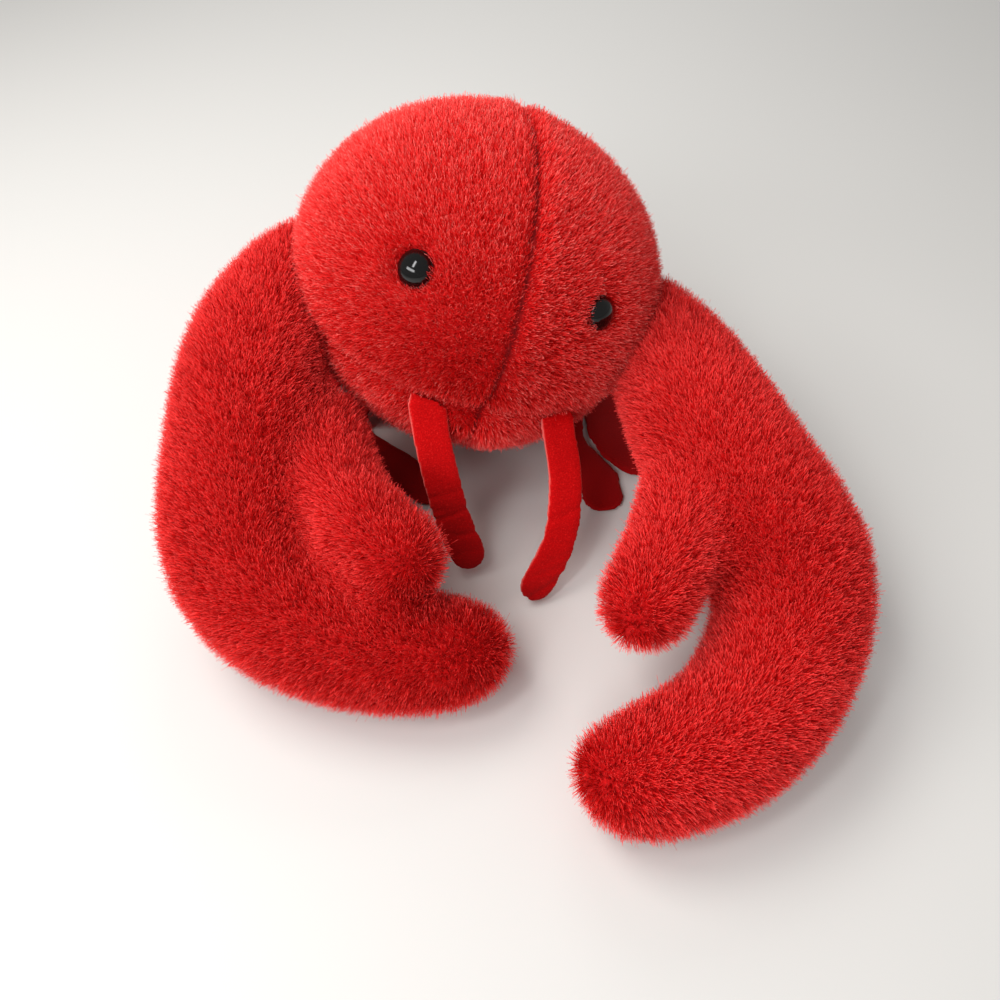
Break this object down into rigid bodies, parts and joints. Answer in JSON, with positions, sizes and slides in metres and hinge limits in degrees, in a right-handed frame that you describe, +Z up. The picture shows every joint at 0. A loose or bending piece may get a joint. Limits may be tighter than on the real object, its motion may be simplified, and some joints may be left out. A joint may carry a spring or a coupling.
{
  "type": "plush lobster toy",
  "caption": "Stuffed long-pile plush lobster lying on its belly, claw arms curved forward and inward, with glossy safety eyes and flat velour antennae and legs.",
  "frame": {"origin": "on the floor, at the middle of the toy's footprint", "axes": "+Z up, the lobster's face and claws towards -Y, its tail towards +Y, its own left side towards +X"},
  "size_m": [0.2614, 0.4696, 0.1524],
  "materials": {
    "plush_red": "long straight pile, matt at the root and paler at the tips",
    "velour_red": "short dense pile, soft sheen",
    "eye_black": "polished",
    "washer_white": "plain moulded"
  },
  "bodies": {
    "root": {"body": "plush_red", "claw_arm_right": "plush_red", "claw_arm_left": "plush_red", "tail": "plush_red", "tail_fan": "plush_red", "antenna_right": "velour_red", "antenna_left": "velour_red", "leg_right_1": "velour_red", "leg_right_2": "velour_red", "leg_right_3": "velour_red", "leg_right_4": "velour_red", "leg_left_1": "velour_red", "leg_left_2": "velour_red", "leg_left_3": "velour_red", "leg_left_4": "velour_red", "eye_right": "eye_black", "eye_left": "eye_black", "eye_washer_right": "washer_white", "eye_washer_left": "washer_white"}
  },
  "joints": []
}
